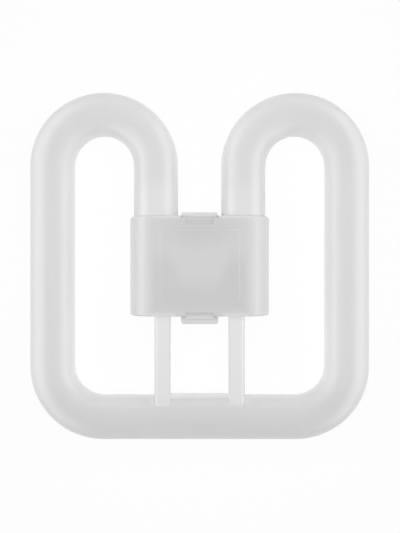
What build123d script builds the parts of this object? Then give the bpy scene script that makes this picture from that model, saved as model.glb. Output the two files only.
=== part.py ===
"""Square compact fluorescent lamp: a folded glass tube held by a two-piece moulded cap with two pins.

Sizes are in millimetres. +X runs across the lamp, +Y from the straight bottom run of the tube to its two
arches, and +Z from the rear face of the cap to its front. The origin is the middle of the rear face.
"""

from build123d import *
import os

# Overall size
LAMP_WIDTH = 138.0
LAMP_HEIGHT = 141.0
LAMP_DEPTH = 27.5

# Glass tube
TUBE_DIAMETER = 18.0
LEG_SPACING = 35.6  # between the axes of the two legs that enter the cap
CORNER_RADIUS = 21.1  # centreline of the bottom corners
LEG_END_INSET = 12.0  # of both ends, from the lower end of the cap
LEG_END_ROUND = 3.0
EXHAUST_TIP_DIAMETER = 3.4
EXHAUST_TIP_LENGTH = 4.0
EXHAUST_TIP_ROUND = 1.2

# Bands of silicone that bond the legs into the cap
SEAL_LENGTH = 8.0
SEAL_INSET = 2.0  # from the end of the cap
SEAL_CLEARANCE = 0.02

# Shells of the cap
CAP_LENGTH = 40.0
CAP_WALL = 1.2
END_WALL = 1.3
TUBE_CLEARANCE = 0.3
END_ROUND = 1.0
PART_GROOVE = 0.4  # side of the square notch, set on its corner, along the line where the shells meet

# Panel let into the front
PANEL_WIDTH = 31.0
PANEL_HEIGHT = 29.0
PANEL_Y = -0.4
PANEL_DEPTH = 0.2
PANEL_CORNER_RADIUS = 1.0

# Struts and saddle that steady the bottom run of the tube
STRUT_SPACING = 30.14
STRUT_WIDTH = 6.7
STRUT_HEIGHT = 7.2  # in front of the tube's axis
STRUT_WALL = 1.2
STRUT_OUTER_ROUND = 1.8
STRUT_INNER_ROUND = 0.6
SADDLE_THICKNESS = 0.45
SADDLE_CLEARANCE = 0.05
SADDLE_FRONT_ANGLE = 22.0
SADDLE_LIP_ANGLE = 14.0  # over which the front edge thins out
SADDLE_LIP_THICKNESS = 0.15
SADDLE_REAR_ANGLE = 35.0

# Snap latches at the two ends of the cap
LATCH_SHIFT = -0.87  # from the middle of the cap
LATCH_SLOT_LENGTH = 11.2
LATCH_SLOT_WIDTH = 2.65
LATCH_SLOT_DEPTH = 1.6
LATCH_SHELF = 1.2  # floor and walls of the slot, which carry the tongue
LATCH_TONGUE = 1.2
LATCH_CLEARANCE = 0.2
LATCH_BAR_LENGTH = 14.6
LATCH_BAR_WIDTH = 2.3
LATCH_BAR_DEPTH = 5.5
LATCH_BAR_ROUND = 0.9
LATCH_BAR_BEVEL = 0.6
LATCH_POST_DEPTH = 8.0
LATCH_STANDOFF = 0.15
BARB_DEPTH = 3.6
BARB_NOSE = 0.6
BARB_GRIP = 0.9  # overlap of the barb on its bar

# Boss and plug recess at the rear
BOSS_WIDTH = 44.0
BOSS_HEIGHT = 36.0
BOSS_CORNER_RADIUS = 3.0
BOSS_ROUND = 1.0
BOSS_WALL = 1.3
RECESS_WIDTH = 22.0
RECESS_HEIGHT = 16.0
RECESS_DEPTH = 7.0
RECESS_CORNER_RADIUS = 1.5
RECESS_WALL = 1.3
RECESS_FLOOR = 1.5
RIB_THICKNESS = 1.2
RIB_CLEARANCE = 0.1
TUBE_RIB_SPACING = 12.0

# Contact pins
PIN_SPACING = 8.0
PIN_DIAMETER = 2.35
PIN_SETBACK = 1.0  # of the tips inside the mouth of the recess
PIN_TIP_ROUND = 0.7
PIN_SHANK_DIAMETER = 2.8  # in the floor of the recess
PIN_FLANGE_DIAMETER = 3.6
PIN_FLANGE_THICKNESS = 0.8
PIN_TAIL_DIAMETER = 1.9
PIN_TAIL_LENGTH = 2.6
PIN_BORE_DIAMETER = 1.1
PIN_BORE_DEPTH = 4.0
PIN_CLEARANCE = 0.03
PIN_FLANGE_CLEARANCE = 0.2

# Lead wires
LEAD_DIAMETER = 0.8
LEAD_SPACING = 6.8  # between the two wires at each end of the tube
LEAD_BEND_RADIUS = 1.3
LEAD_END_CLEARANCE = 0.2  # in the bores of the pins
PIN_LEAD_REACH = 5.2  # below the ends of the tube
PIN_LEAD_RISE = 1.5  # above the tails of the pins
STARTER_LEAD_REACH = 7.2  # below the ends of the tube
STARTER_LEAD_SPACING = 2.4

# Glow starter
STARTER_DIAMETER = 6.6
STARTER_LENGTH = 14.5
STARTER_SHOULDER_ROUND = 1.2
STARTER_BASE_INSET = 14.5  # from the lower end of the cap
STARTER_RIB_SPACING = 7.0
STARTER_CLEARANCE = 1.6  # over the tails of the pins
PINCH_WIDTH = 5.0
PINCH_THICKNESS = 1.8
PINCH_LENGTH = 3.5
PINCH_HOLE_DIAMETER = 0.9
PINCH_HOLE_DEPTH = 2.0

# Suppressor capacitor
CAPACITOR_DIAMETER = 6.0
CAPACITOR_THICKNESS = 2.4
CAPACITOR_ROUND = 0.9
CAPACITOR_LEG_DIAMETER = 0.6
CAPACITOR_LEG_LENGTH = 1.8
CAPACITOR_GAP = 3.2  # between the pinch of the starter and the middle of the capacitor
SOLDER_FILM = 0.02

# Derived places
TUBE_RADIUS = TUBE_DIAMETER / 2
BORE_RADIUS = TUBE_RADIUS + TUBE_CLEARANCE
COLLAR_RADIUS = BORE_RADIUS + CAP_WALL
AXIS_Z = LAMP_DEPTH - COLLAR_RADIUS  # plane of the tube, where the two shells meet
INNER_LEG_X = LEG_SPACING / 2
OUTER_LEG_X = LAMP_WIDTH / 2 - TUBE_RADIUS
ARCH_X = (INNER_LEG_X + OUTER_LEG_X) / 2
ARCH_RADIUS = (OUTER_LEG_X - INNER_LEG_X) / 2
ARCH_Y = LAMP_HEIGHT / 2 - TUBE_RADIUS - ARCH_RADIUS
BOTTOM_Y = TUBE_RADIUS - LAMP_HEIGHT / 2
CORNER_X = OUTER_LEG_X - CORNER_RADIUS
CORNER_Y = BOTTOM_Y + CORNER_RADIUS
CAP_END = CAP_LENGTH / 2
LEG_END_Y = LEG_END_INSET - CAP_END
CAP_HALF_WIDTH = INNER_LEG_X + COLLAR_RADIUS
BAR_INNER = CAP_END + LATCH_STANDOFF
BAR_OUTER = BAR_INNER + LATCH_BAR_WIDTH
SLOT_INNER = BAR_INNER - LATCH_SLOT_WIDTH
SLOT_FLOOR = LAMP_DEPTH - LATCH_SLOT_DEPTH
TONGUE_OUTER = BAR_INNER - LATCH_CLEARANCE
TONGUE_INNER = TONGUE_OUTER - LATCH_TONGUE
BARB_TOP = AXIS_Z - LATCH_CLEARANCE
BARB_BASE = BARB_TOP - BARB_DEPTH
FLOOR_TOP = RECESS_DEPTH + RECESS_FLOOR
PIN_X = PIN_SPACING / 2
PIN_END = FLOOR_TOP + PIN_FLANGE_THICKNESS + PIN_TAIL_LENGTH
LEAD_RADIUS = LEAD_DIAMETER / 2
STARTER_RADIUS = STARTER_DIAMETER / 2
STARTER_Z = PIN_END + STARTER_CLEARANCE + STARTER_RADIUS
STARTER_BASE_Y = STARTER_BASE_INSET - CAP_END
STARTER_TOP_Y = STARTER_BASE_Y + STARTER_LENGTH
STARTER_MIDDLE_Y = (STARTER_BASE_Y + STARTER_TOP_Y) / 2
PINCH_END_Y = STARTER_BASE_Y - PINCH_LENGTH
STARTER_LEAD_X = STARTER_LEAD_SPACING / 2
CAPACITOR_Y = PINCH_END_Y - CAPACITOR_GAP
CAPACITOR_RADIUS = CAPACITOR_DIAMETER / 2
CAPACITOR_LEG_END = STARTER_Z + LEAD_RADIUS + SOLDER_FILM
CAPACITOR_Z = CAPACITOR_LEG_END + CAPACITOR_LEG_LENGTH + CAPACITOR_RADIUS

BOTH_ENDS = (1, -1)
SIDES = (("left", -1), ("right", 1))

os.makedirs("parts", exist_ok=True)


def save(piece, name):
    """Label a finished piece and write its STEP file."""
    piece.part.label = name
    export_step(piece.part, f"parts/{name}.step")


def latch_y(end, distance):
    """Y of a place on a latch, at a distance from the middle of the pair towards one end."""
    return LATCH_SHIFT + end * distance


def along_y(x, z):
    """Place of a solid whose own axis is turned to run along Y."""
    return Location((x, 0, z), (90, 0, 0))


# Glass tube, swept along the whole fold, with rounded ends and the tips left by exhausting it
with BuildPart() as discharge_tube:
    with BuildLine(Plane.XY.offset(AXIS_Z)) as fold:
        leg_in = Line((-INNER_LEG_X, LEG_END_Y), (-INNER_LEG_X, ARCH_Y))
        CenterArc((-ARCH_X, ARCH_Y), ARCH_RADIUS, 0, 180)
        Line((-OUTER_LEG_X, ARCH_Y), (-OUTER_LEG_X, CORNER_Y))
        CenterArc((-CORNER_X, CORNER_Y), CORNER_RADIUS, 180, 90)
        Line((-CORNER_X, BOTTOM_Y), (CORNER_X, BOTTOM_Y))
        CenterArc((CORNER_X, CORNER_Y), CORNER_RADIUS, 270, 90)
        Line((OUTER_LEG_X, CORNER_Y), (OUTER_LEG_X, ARCH_Y))
        CenterArc((ARCH_X, ARCH_Y), ARCH_RADIUS, 0, 180)
        Line((INNER_LEG_X, ARCH_Y), (INNER_LEG_X, LEG_END_Y))
    with BuildSketch(Plane(origin=leg_in @ 0, z_dir=leg_in % 0)):
        Circle(TUBE_RADIUS)
    sweep()
    leg_ends = discharge_tube.faces().filter_by(Axis.Y)
    fillet(leg_ends.edges(), LEG_END_ROUND)
    with BuildSketch(Plane.XZ.offset(-LEG_END_Y)):
        with Locations((-INNER_LEG_X, AXIS_Z), (INNER_LEG_X, AXIS_Z)):
            Circle(EXHAUST_TIP_DIAMETER / 2)
    extrude(amount=EXHAUST_TIP_LENGTH)
    tip_ends = discharge_tube.faces().filter_by(Axis.Y).group_by(Axis.Y)[0]
    fillet(tip_ends.edges(), EXHAUST_TIP_ROUND)
save(discharge_tube, "discharge_tube")

# Silicone bands round the two legs, just inside the mouth of the cap
for side, sign in SIDES:
    with BuildPart() as tube_seal:
        with BuildSketch(Plane.XZ.offset(SEAL_INSET - CAP_END)):
            with Locations((sign * INNER_LEG_X, AXIS_Z)):
                Circle(BORE_RADIUS - SEAL_CLEARANCE)
                Circle(TUBE_RADIUS + SEAL_CLEARANCE, mode=Mode.SUBTRACT)
        extrude(amount=SEAL_LENGTH)
    save(tube_seal, f"tube_seal_{side}")

# Outer form of the cap, which the two shells share
with BuildPart() as cap_body:
    with BuildSketch(Plane.XZ):
        with Locations((0, AXIS_Z)):
            SlotCenterToCenter(LEG_SPACING, 2 * COLLAR_RADIUS)
    extrude(amount=CAP_END, both=True)
    fillet(cap_body.faces().filter_by(Axis.Y).edges(), END_ROUND)

# Hollow of the cap, with the bores for the legs and the fine groove along the line where the shells meet
with BuildPart() as cap_hollow:
    with BuildSketch(Plane.XZ):
        with Locations((0, AXIS_Z)):
            SlotCenterToCenter(LEG_SPACING, 2 * BORE_RADIUS)
    extrude(amount=CAP_END - END_WALL, both=True)
    with BuildSketch(Plane.XZ):
        with Locations((-INNER_LEG_X, AXIS_Z), (INNER_LEG_X, AXIS_Z)):
            Circle(BORE_RADIUS)
    extrude(amount=-CAP_LENGTH)
    with BuildSketch(Plane.XZ):
        with Locations((-CAP_HALF_WIDTH, AXIS_Z), (CAP_HALF_WIDTH, AXIS_Z)):
            Rectangle(PART_GROOVE, PART_GROOVE, rotation=45)
    extrude(amount=CAP_END, both=True)

# Front half of the cap, with the struts and the saddle moulded on
with BuildPart() as front_cover:
    add(cap_body.part)
    split(bisect_by=Plane.XY.offset(AXIS_Z), keep=Keep.TOP)

    # Struts: channels, open at the rear, that run from the lower end wall to the bottom run
    with BuildSketch(Plane.XZ.offset(CAP_END - END_WALL / 2)) as strut_section:
        with Locations((-STRUT_SPACING / 2, AXIS_Z), (STRUT_SPACING / 2, AXIS_Z)):
            Rectangle(STRUT_WIDTH, STRUT_HEIGHT, align=(Align.CENTER, Align.MIN))
        front_corners = strut_section.vertices().group_by(Axis.Y)[-1].sort_by(Axis.X)
        fillet((front_corners[0], front_corners[-1]), STRUT_OUTER_ROUND)
        fillet(front_corners[1:-1], STRUT_INNER_ROUND)
    extrude(amount=-BOTTOM_Y - CAP_END + END_WALL / 2)
    with BuildSketch(Plane.XZ.offset(CAP_END)):
        with Locations((-STRUT_SPACING / 2, AXIS_Z), (STRUT_SPACING / 2, AXIS_Z)):
            channel_width = STRUT_WIDTH - 2 * STRUT_WALL
            Rectangle(channel_width, STRUT_HEIGHT - STRUT_WALL, align=(Align.CENTER, Align.MIN))
    extrude(amount=-BOTTOM_Y - CAP_END, mode=Mode.SUBTRACT)
    with Locations(Location((0, BOTTOM_Y, AXIS_Z), (0, 90, 0))):
        Cylinder(TUBE_RADIUS + SADDLE_CLEARANCE, LAMP_WIDTH, mode=Mode.SUBTRACT)

    # Saddle: a thin strip that hugs the tube between the ends of the struts
    with BuildSketch(Plane.YZ):
        with BuildLine():
            saddle_turn = SADDLE_FRONT_ANGLE + SADDLE_REAR_ANGLE
            saddle_inner = TUBE_RADIUS + SADDLE_CLEARANCE
            saddle_outer = saddle_inner + SADDLE_THICKNESS
            saddle_axis = (BOTTOM_Y, AXIS_Z)
            inside = CenterArc(saddle_axis, saddle_inner, -SADDLE_REAR_ANGLE, saddle_turn + SADDLE_LIP_ANGLE)
            outside = CenterArc(saddle_axis, saddle_outer, -SADDLE_REAR_ANGLE, saddle_turn)
            Line(inside @ 0, outside @ 0)
            lip_edge = PolarLine(inside @ 1, SADDLE_LIP_THICKNESS, SADDLE_FRONT_ANGLE + SADDLE_LIP_ANGLE)
            Line(lip_edge @ 1, outside @ 1)
        make_face()
    extrude(amount=STRUT_SPACING / 2, both=True)

    add(cap_hollow.part, mode=Mode.SUBTRACT)

    # Latches: a pocket in the front edge, whose floor carries a tongue with a barb that grips the rear half
    for end in BOTH_ENDS:
        shelf_inner = latch_y(end, SLOT_INNER - LATCH_SHELF)
        tongue_outer = latch_y(end, TONGUE_OUTER)
        tongue_inner = latch_y(end, TONGUE_INNER)
        barb_tip = latch_y(end, BAR_INNER + BARB_GRIP)
        with BuildSketch(Plane.XY.offset(AXIS_Z)):
            with Locations((0, latch_y(end, (SLOT_INNER + BAR_OUTER) / 2))):
                Rectangle(LATCH_SLOT_LENGTH, BAR_OUTER - SLOT_INNER)
            with Locations((0, latch_y(end, (TONGUE_OUTER + BAR_OUTER) / 2))):
                Rectangle(LATCH_BAR_LENGTH + 2 * LATCH_CLEARANCE, BAR_OUTER - TONGUE_OUTER)
        extrude(amount=LAMP_DEPTH, mode=Mode.SUBTRACT)
        with BuildSketch(Plane.XY.offset(SLOT_FLOOR - LATCH_SHELF)):
            pocket_outer = end * min(end * tongue_outer, CAP_END - END_WALL / 2)
            with Locations((0, (shelf_inner + pocket_outer) / 2)):
                Rectangle(LATCH_SLOT_LENGTH + 2 * LATCH_SHELF, abs(pocket_outer - shelf_inner))
        extrude(amount=LATCH_SHELF + LATCH_SLOT_DEPTH - CAP_WALL / 2)
        with BuildSketch(Plane.XY.offset(SLOT_FLOOR)):
            with Locations((0, (latch_y(end, SLOT_INNER) + pocket_outer) / 2)):
                Rectangle(LATCH_SLOT_LENGTH, abs(pocket_outer - latch_y(end, SLOT_INNER)))
        extrude(amount=LATCH_SLOT_DEPTH, mode=Mode.SUBTRACT)
        with BuildSketch(Plane.YZ):
            with Locations(((shelf_inner + tongue_outer) / 2, SLOT_FLOOR - LATCH_SHELF / 2)):
                Rectangle(abs(tongue_outer - shelf_inner), LATCH_SHELF)
        extrude(amount=LATCH_SLOT_LENGTH / 2, both=True)
        with BuildSketch(Plane.YZ):
            with BuildLine():
                Polyline(
                    (tongue_inner, SLOT_FLOOR - LATCH_SHELF / 2),
                    (tongue_outer, SLOT_FLOOR - LATCH_SHELF / 2),
                    (tongue_outer, BARB_TOP),
                    (barb_tip, BARB_TOP),
                    (barb_tip, BARB_TOP - BARB_NOSE),
                    (tongue_outer, BARB_BASE),
                    (tongue_inner, BARB_BASE),
                    close=True,
                )
            make_face()
        extrude(amount=LATCH_SLOT_LENGTH / 2 - LATCH_CLEARANCE, both=True)

    # Panel let into the front
    with BuildSketch(Plane.XY.offset(LAMP_DEPTH)):
        with Locations((0, PANEL_Y)):
            RectangleRounded(PANEL_WIDTH, PANEL_HEIGHT, PANEL_CORNER_RADIUS)
    extrude(amount=-PANEL_DEPTH, mode=Mode.SUBTRACT)
save(front_cover, "front_cover")

# Rear half of the cap, with the boss, the plug recess, the ribs and the latch bars
with BuildPart() as rear_housing:
    add(cap_body.part)
    split(bisect_by=Plane.XY.offset(AXIS_Z), keep=Keep.BOTTOM)
    with BuildSketch(Plane.XY):
        RectangleRounded(BOSS_WIDTH, BOSS_HEIGHT, BOSS_CORNER_RADIUS)
    extrude(amount=AXIS_Z - BORE_RADIUS)
    fillet(rear_housing.faces().sort_by(Axis.Z)[0].edges(), BOSS_ROUND)

    add(cap_hollow.part, mode=Mode.SUBTRACT)
    with BuildSketch(Plane.XY.offset(BOSS_WALL)):
        boss_inner_width = BOSS_WIDTH - 2 * BOSS_WALL
        boss_inner_height = BOSS_HEIGHT - 2 * BOSS_WALL
        RectangleRounded(boss_inner_width, boss_inner_height, BOSS_CORNER_RADIUS - BOSS_WALL)
    extrude(amount=AXIS_Z - BOSS_WALL, mode=Mode.SUBTRACT)

    # Ribs that cradle the legs of the tube, from the recess to the sides of the boss
    rib_inner = RECESS_WIDTH / 2
    rib_outer = (BOSS_WIDTH - BOSS_WALL) / 2
    with BuildSketch(Plane.XY.offset(BOSS_WALL / 2)):
        for side, sign in SIDES:
            with Locations((sign * (rib_inner + rib_outer) / 2, 0)):
                with GridLocations(0, TUBE_RIB_SPACING, 1, 2):
                    Rectangle(rib_outer - rib_inner, RIB_THICKNESS)
    extrude(amount=AXIS_Z - TUBE_RADIUS)
    with Locations(along_y(-INNER_LEG_X, AXIS_Z), along_y(INNER_LEG_X, AXIS_Z)):
        Cylinder(TUBE_RADIUS + RIB_CLEARANCE, CAP_LENGTH - 2 * END_WALL, mode=Mode.SUBTRACT)

    # Plug recess, with the ribs for the starter on its floor and the holes for the pins
    with BuildSketch(Plane.XY):
        well_radius = RECESS_CORNER_RADIUS + RECESS_WALL
        RectangleRounded(RECESS_WIDTH + 2 * RECESS_WALL, RECESS_HEIGHT + 2 * RECESS_WALL, well_radius)
    extrude(amount=FLOOR_TOP)
    with BuildSketch(Plane.XY):
        RectangleRounded(RECESS_WIDTH, RECESS_HEIGHT, RECESS_CORNER_RADIUS)
    extrude(amount=RECESS_DEPTH, mode=Mode.SUBTRACT)
    with BuildSketch(Plane.XY.offset(RECESS_DEPTH + RECESS_FLOOR / 2)):
        with Locations((0, STARTER_MIDDLE_Y)):
            with GridLocations(0, STARTER_RIB_SPACING, 1, 2):
                rib_width = PIN_SPACING - PIN_FLANGE_DIAMETER - 2 * PIN_FLANGE_CLEARANCE
                Rectangle(rib_width, RIB_THICKNESS)
    extrude(amount=STARTER_Z - RECESS_DEPTH - RECESS_FLOOR / 2)
    with Locations(along_y(0, STARTER_Z)):
        Cylinder(STARTER_RADIUS + RIB_CLEARANCE, CAP_LENGTH - 2 * END_WALL, mode=Mode.SUBTRACT)
    with BuildSketch(Plane.XY.offset(FLOOR_TOP)):
        with GridLocations(PIN_SPACING, 0, 2, 1):
            Circle(PIN_SHANK_DIAMETER / 2 + PIN_CLEARANCE)
    extrude(amount=-FLOOR_TOP, mode=Mode.SUBTRACT)

    # Latch bars on posts, with cheeks up to the end wall, each over a window that lets the barb through
    for end in BOTH_ENDS:
        outermost = -1 if end > 0 else 0
        wall_y = end * (CAP_END - END_WALL / 2)
        bar_inner_y = latch_y(end, BAR_INNER)
        bar_outer_y = latch_y(end, BAR_OUTER)
        with BuildSketch(Plane.XY.offset(AXIS_Z - LATCH_POST_DEPTH)) as root:
            with Locations((0, (wall_y + bar_outer_y) / 2)):
                Rectangle(LATCH_BAR_LENGTH, abs(bar_outer_y - wall_y))
            fillet(root.vertices().group_by(Axis.Y)[outermost], LATCH_BAR_ROUND)
        extrude(amount=LATCH_POST_DEPTH)
        with BuildPart() as latch_bar:
            with BuildSketch(Plane.XY.offset(AXIS_Z)) as bar:
                with Locations((0, (bar_inner_y + bar_outer_y) / 2)):
                    Rectangle(LATCH_BAR_LENGTH, LATCH_BAR_WIDTH)
                fillet(bar.vertices().group_by(Axis.Y)[outermost], LATCH_BAR_ROUND)
            extrude(amount=LATCH_BAR_DEPTH)
            bar_front = latch_bar.faces().sort_by(Axis.Z)[-1]
            chamfer(bar_front.edges().sort_by(Axis.Y)[outermost], LATCH_BAR_BEVEL)
            with BuildSketch(Plane.XY.offset(AXIS_Z)):
                cheek_inner_y = end * BAR_INNER
                bar_middle_y = (bar_inner_y + bar_outer_y) / 2
                cheek_width = (LATCH_BAR_LENGTH - LATCH_SLOT_LENGTH) / 2 - LATCH_CLEARANCE
                with Locations((0, (cheek_inner_y + bar_middle_y) / 2)):
                    with GridLocations(LATCH_BAR_LENGTH - cheek_width, 0, 2, 1):
                        Rectangle(cheek_width, abs(bar_middle_y - cheek_inner_y))
            extrude(amount=LATCH_BAR_DEPTH)
        with BuildSketch(Plane.XY.offset(BARB_BASE - LATCH_CLEARANCE)):
            with Locations((0, (latch_y(end, SLOT_INNER) + bar_outer_y) / 2)):
                Rectangle(LATCH_SLOT_LENGTH, BAR_OUTER - SLOT_INNER)
        extrude(amount=BARB_DEPTH + 2 * LATCH_CLEARANCE, mode=Mode.SUBTRACT)
save(rear_housing, "rear_housing")

# Contact pins: hollow at the inner end, with a thicker shank in the floor of the recess and a flange on it
for side, sign in SIDES:
    with BuildPart() as contact_pin:
        with BuildSketch(Plane.XY.offset(PIN_SETBACK)):
            with Locations((sign * PIN_X, 0)):
                Circle(PIN_DIAMETER / 2)
        extrude(amount=RECESS_DEPTH - PIN_SETBACK)
        fillet(contact_pin.edges().group_by(Axis.Z)[0], PIN_TIP_ROUND)
        with BuildSketch(Plane.XY.offset(RECESS_DEPTH)):
            with Locations((sign * PIN_X, 0)):
                Circle(PIN_SHANK_DIAMETER / 2)
        extrude(amount=RECESS_FLOOR)
        with BuildSketch(Plane.XY.offset(FLOOR_TOP)):
            with Locations((sign * PIN_X, 0)):
                Circle(PIN_FLANGE_DIAMETER / 2)
        extrude(amount=PIN_FLANGE_THICKNESS)
        with BuildSketch(Plane.XY.offset(PIN_END)):
            with Locations((sign * PIN_X, 0)):
                Circle(PIN_TAIL_DIAMETER / 2)
        extrude(amount=-PIN_TAIL_LENGTH)
        with BuildSketch(Plane.XY.offset(PIN_END)):
            with Locations((sign * PIN_X, 0)):
                Circle(PIN_BORE_DIAMETER / 2)
        extrude(amount=-PIN_BORE_DEPTH, mode=Mode.SUBTRACT)
    save(contact_pin, f"contact_pin_{side}")


def lead_wire(points):
    """Round wire swept along straight runs with bends between them."""
    with BuildPart() as wire:
        with BuildLine():
            route = FilletPolyline(*points, radius=LEAD_BEND_RADIUS)
        with BuildSketch(Plane(origin=route @ 0, z_dir=route % 0)):
            Circle(LEAD_RADIUS)
        sweep()
    return wire


# Lead wires from each end of the tube to its pin and to the starter
for side, sign in SIDES:
    pin_lead_x = INNER_LEG_X - LEAD_SPACING / 2
    pin_lead_y = LEG_END_Y - PIN_LEAD_REACH
    pin_lead_z = PIN_END + PIN_LEAD_RISE
    pin_lead = lead_wire(
        [
            (sign * pin_lead_x, LEG_END_Y, AXIS_Z),
            (sign * pin_lead_x, pin_lead_y, AXIS_Z),
            (sign * PIN_X, pin_lead_y, pin_lead_z),
            (sign * PIN_X, 0, pin_lead_z),
            (sign * PIN_X, 0, PIN_END - PIN_BORE_DEPTH + LEAD_END_CLEARANCE),
        ]
    )
    save(pin_lead, f"pin_lead_{side}")

    starter_lead_x = INNER_LEG_X + LEAD_SPACING / 2
    starter_lead_y = LEG_END_Y - STARTER_LEAD_REACH
    starter_lead = lead_wire(
        [
            (sign * starter_lead_x, LEG_END_Y, AXIS_Z),
            (sign * starter_lead_x, starter_lead_y, AXIS_Z),
            (sign * STARTER_LEAD_X, starter_lead_y, STARTER_Z),
            (sign * STARTER_LEAD_X, PINCH_END_Y + PINCH_HOLE_DEPTH, STARTER_Z),
        ]
    )
    save(starter_lead, f"starter_lead_{side}")

# Glow starter: a sealed bulb with a domed end and a flat pinch that takes the two wires
with BuildPart() as starter_bulb:
    with BuildSketch(Plane.XZ.offset(-STARTER_BASE_Y)):
        with Locations((0, STARTER_Z)):
            Circle(STARTER_RADIUS)
    extrude(amount=-(STARTER_LENGTH - STARTER_RADIUS))
    with Locations((0, STARTER_TOP_Y - STARTER_RADIUS, STARTER_Z)):
        Sphere(STARTER_RADIUS)
    fillet(starter_bulb.edges().group_by(Axis.Y)[0], STARTER_SHOULDER_ROUND)
    with BuildSketch(Plane.XZ.offset(-STARTER_BASE_Y)):
        with Locations((0, STARTER_Z)):
            RectangleRounded(PINCH_WIDTH, PINCH_THICKNESS, PINCH_THICKNESS / 3)
    extrude(amount=PINCH_LENGTH)
    with BuildSketch(Plane.XZ.offset(-PINCH_END_Y)):
        with Locations((-STARTER_LEAD_X, STARTER_Z), (STARTER_LEAD_X, STARTER_Z)):
            Circle(PINCH_HOLE_DIAMETER / 2)
    extrude(amount=-PINCH_HOLE_DEPTH, mode=Mode.SUBTRACT)
save(starter_bulb, "starter_bulb")

# Suppressor capacitor: a coated disc on two short legs that are soldered to the starter's wires
with BuildPart() as suppressor_capacitor:
    with BuildSketch(Plane.XZ.offset(-CAPACITOR_Y)):
        with Locations((0, CAPACITOR_Z)):
            Circle(CAPACITOR_RADIUS)
    extrude(amount=CAPACITOR_THICKNESS / 2, both=True)
    fillet(suppressor_capacitor.edges().filter_by(GeomType.CIRCLE), CAPACITOR_ROUND)
    with BuildSketch(Plane.XY.offset(CAPACITOR_LEG_END)):
        with Locations((-STARTER_LEAD_X, CAPACITOR_Y), (STARTER_LEAD_X, CAPACITOR_Y)):
            Circle(CAPACITOR_LEG_DIAMETER / 2)
    extrude(amount=CAPACITOR_LEG_LENGTH + CAPACITOR_RADIUS)
save(suppressor_capacitor, "suppressor_capacitor")
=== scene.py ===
"""Square compact fluorescent lamp: its looks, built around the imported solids.

The lamp lies on the rear face of its cap, on a white floor between soft boxes, and is seen from straight
above. Every length is in metres, in the frame of the solids.
"""

import logging
import math
from collections.abc import Callable
from dataclasses import dataclass
from enum import Enum
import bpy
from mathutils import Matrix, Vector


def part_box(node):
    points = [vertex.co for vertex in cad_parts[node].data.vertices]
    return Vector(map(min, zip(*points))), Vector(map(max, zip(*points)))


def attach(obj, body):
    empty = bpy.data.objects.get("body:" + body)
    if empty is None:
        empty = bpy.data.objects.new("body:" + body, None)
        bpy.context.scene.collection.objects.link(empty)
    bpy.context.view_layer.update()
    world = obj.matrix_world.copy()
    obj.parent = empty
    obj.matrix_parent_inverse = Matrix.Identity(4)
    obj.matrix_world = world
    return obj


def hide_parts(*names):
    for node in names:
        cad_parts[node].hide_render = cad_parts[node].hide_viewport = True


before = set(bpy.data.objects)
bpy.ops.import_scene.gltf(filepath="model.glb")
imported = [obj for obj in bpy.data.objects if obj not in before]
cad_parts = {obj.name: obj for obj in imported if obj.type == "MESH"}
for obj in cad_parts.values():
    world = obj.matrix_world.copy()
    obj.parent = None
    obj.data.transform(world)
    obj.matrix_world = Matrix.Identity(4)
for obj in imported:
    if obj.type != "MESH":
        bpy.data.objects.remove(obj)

from types import TracebackType
from typing import Protocol, TypeAlias, Union

import bmesh
import bpy
from mathutils import Vector

LOG = logging.getLogger("square_lamp")
ROOT = "root"

# How far a corner may lie from the plane, or from the edge or side, that it belongs to
IN_PLANE = 1e-6
ON_EDGE = 1e-5

Number: TypeAlias = Union["Field", float]
Colour: TypeAlias = tuple[float, float, float]
Place: TypeAlias = tuple[float, float, float]
Pair: TypeAlias = tuple[float, float]
Span: TypeAlias = tuple[float, float]


def grey(level: float) -> Colour:
    """Give a neutral colour."""
    return (level, level, level)


WHITE = grey(1.0)


def opaque(colour: "Colour | Field") -> object:
    """Add full alpha to a plain colour, and leave a field as it is."""
    return colour if isinstance(colour, Field) else (*colour, 1.0)


def select_alone(piece: bpy.types.Object) -> None:
    """Select one object and nothing else, and make it active.

    Args:
        piece: The object that the next operators act on.
    """
    bpy.ops.object.select_all(action="DESELECT")
    piece.select_set(True)
    bpy.context.view_layer.objects.active = piece


def smooth(piece: bpy.types.Object, angle: float) -> None:
    """Shade a piece smooth, except across edges that turn by more than an angle in degrees."""
    select_alone(piece)
    bpy.ops.object.shade_smooth_by_angle(angle=math.radians(angle))


def dress(piece: bpy.types.Object, material: bpy.types.Material) -> None:
    """Give a piece one material all over."""
    piece.data.materials.clear()
    piece.data.materials.append(material)


def move_corners(piece: bpy.types.Object, move: Callable[[Vector], None]) -> None:
    """Take the corners of a piece one by one to where they belong.

    Args:
        piece: The object whose mesh is shaped.
        move: Changes the place of a corner, or leaves it as it is.
    """
    mesh = bmesh.new()
    mesh.from_mesh(piece.data)
    for corner in mesh.verts:
        move(corner.co)
    mesh.to_mesh(piece.data)
    mesh.free()


class Element(Enum):
    """What a selection in edit mode is made of."""

    VERTICES = "VERT"
    EDGES = "EDGE"
    FACES = "FACE"


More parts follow.
